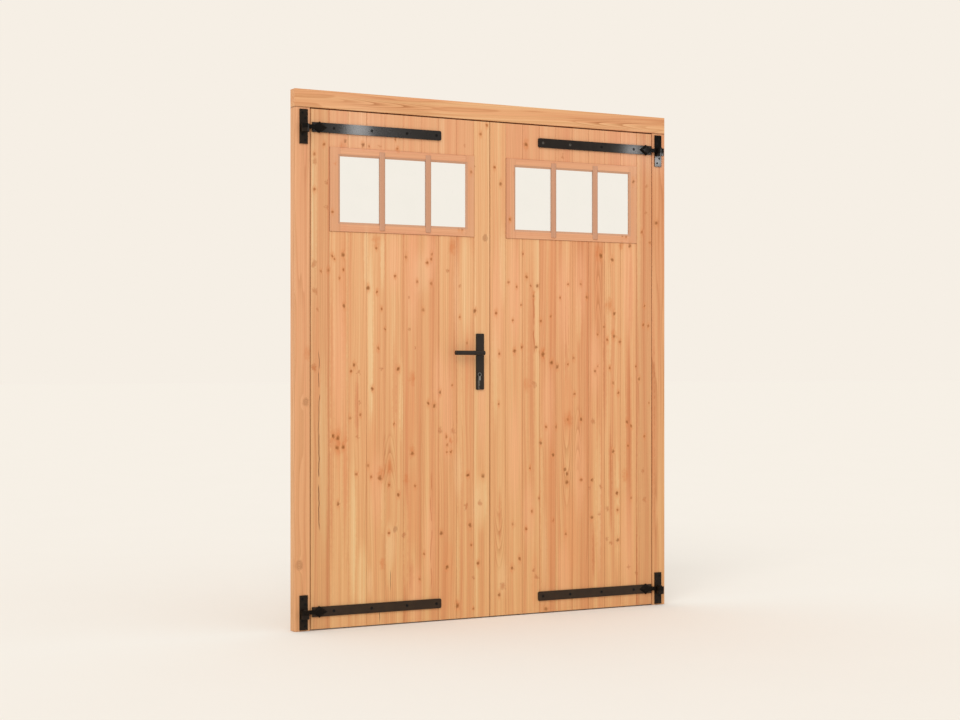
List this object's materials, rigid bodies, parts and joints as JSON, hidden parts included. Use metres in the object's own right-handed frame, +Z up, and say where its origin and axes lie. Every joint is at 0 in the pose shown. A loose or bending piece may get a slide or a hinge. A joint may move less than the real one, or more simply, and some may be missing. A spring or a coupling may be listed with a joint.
{
  "type": "double ledged door",
  "caption": "Boarded timber double door with glazed top lights, hung on black strap hinges and pins in a plain frame, with a lever lock and barrel bolts.",
  "frame": {"origin": "middle of the doorway at floor level, on the mid-plane of the leaves", "axes": "+Z up, +X to the right seen from the front, front of the door towards -Y"},
  "size_m": [1.8, 0.134, 2.19],
  "materials": {
    "board_wood": "planed, untreated",
    "window_wood": "planed, untreated",
    "frame_wood": "planed, untreated",
    "back_wood": "planed, untreated",
    "black_steel": "satin black",
    "bright_steel": "satin",
    "glass": "clear"
  },
  "bodies": {
    "frame": {"head": "frame_wood", "left_jamb": "frame_wood", "right_jamb": "frame_wood", "stops": "back_wood", "left_top_pintle": "black_steel", "left_bottom_pintle": "black_steel", "right_top_pintle": "black_steel", "right_bottom_pintle": "black_steel", "pintle_screws": "black_steel"},
    "left_leaf": {"left_hinge_board": "board_wood", "left_lock_board": "board_wood", "left_long_boards": "board_wood", "left_short_boards": "board_wood", "left_hinge_stile": "back_wood", "left_lock_stile": "back_wood", "left_top_ledge": "back_wood", "left_window_ledge": "back_wood", "left_bottom_ledge": "back_wood", "left_brace": "back_wood", "left_window_stiles": "window_wood", "left_window_rails": "window_wood", "left_glazing_bars": "window_wood", "left_glass": "glass", "left_beads": "back_wood", "left_top_strap": "black_steel", "left_bottom_strap": "black_steel", "left_strap_screws": "black_steel", "lock_case": "bright_steel", "lock_cylinder": "bright_steel", "outer_plate": "black_steel", "inner_plate": "black_steel", "plate_screws": "black_steel"},
    "right_leaf": {"right_hinge_board": "board_wood", "right_meeting_board": "board_wood", "right_long_boards": "board_wood", "right_short_boards": "board_wood", "right_hinge_stile": "back_wood", "right_meeting_stile": "back_wood", "right_top_ledge": "back_wood", "right_window_ledge": "back_wood", "right_bottom_ledge": "back_wood", "right_brace": "back_wood", "right_window_stiles": "window_wood", "right_window_rails": "window_wood", "right_glazing_bars": "window_wood", "right_glass": "glass", "right_beads": "back_wood", "right_top_strap": "black_steel", "right_bottom_strap": "black_steel", "right_strap_screws": "black_steel", "strike_plate": "bright_steel", "bolt_plates": "black_steel"},
    "handle": {"outer_lever": "black_steel", "inner_lever": "black_steel", "spindle": "bright_steel"},
    "latch": {"latch_bolt": "bright_steel"},
    "deadbolt": {"dead_bolt": "bright_steel"},
    "core": {"cylinder_core": "bright_steel"},
    "top_rod": {"top_bolt": "black_steel"},
    "bottom_rod": {"bottom_bolt": "black_steel"}
  },
  "joints": [
    {"name": "left_leaf_swing", "type": "hinge", "parent": "frame", "child": "left_leaf", "pos_m": [-0.862, -0.0435, 0], "axis": [0, 0, -1], "range_deg": [0, 160]},
    {"name": "right_leaf_swing", "type": "hinge", "parent": "frame", "child": "right_leaf", "pos_m": [0.862, -0.0435, 0], "axis": [0, 0, 1], "range_deg": [0, 160]},
    {"name": "lever_turn", "type": "hinge", "parent": "left_leaf", "child": "handle", "pos_m": [-0.055, 0, 1.127], "axis": [0, -1, 0], "range_deg": [0, 45], "stiffness_Nm_per_rad": 1.2, "springref_deg": -40.11},
    {"name": "latch_slide", "type": "slide", "parent": "left_leaf", "child": "latch", "axis": [-1, 0, 0], "range_m": [0, 0.0122]},
    {"name": "core_turn", "type": "hinge", "parent": "left_leaf", "child": "core", "pos_m": [-0.055, 0, 1.035], "axis": [0, 1, 0], "range_deg": [0, 360]},
    {"name": "deadbolt_slide", "type": "slide", "parent": "left_leaf", "child": "deadbolt", "axis": [1, 0, 0], "range_m": [0, 0.02]},
    {"name": "top_bolt_slide", "type": "slide", "parent": "right_leaf", "child": "top_rod", "axis": [0, 0, 1], "range_m": [0, 0.03]},
    {"name": "bottom_bolt_slide", "type": "slide", "parent": "right_leaf", "child": "bottom_rod", "axis": [0, 0, -1], "range_m": [0, 0.03]}
  ],
  "couplings": [
    {"joint": "latch_slide", "follows": "lever_turn", "m_per_rad": 0.0153},
    {"joint": "core_turn", "follows": "deadbolt_slide", "rad_per_m": 314.16}
  ]
}
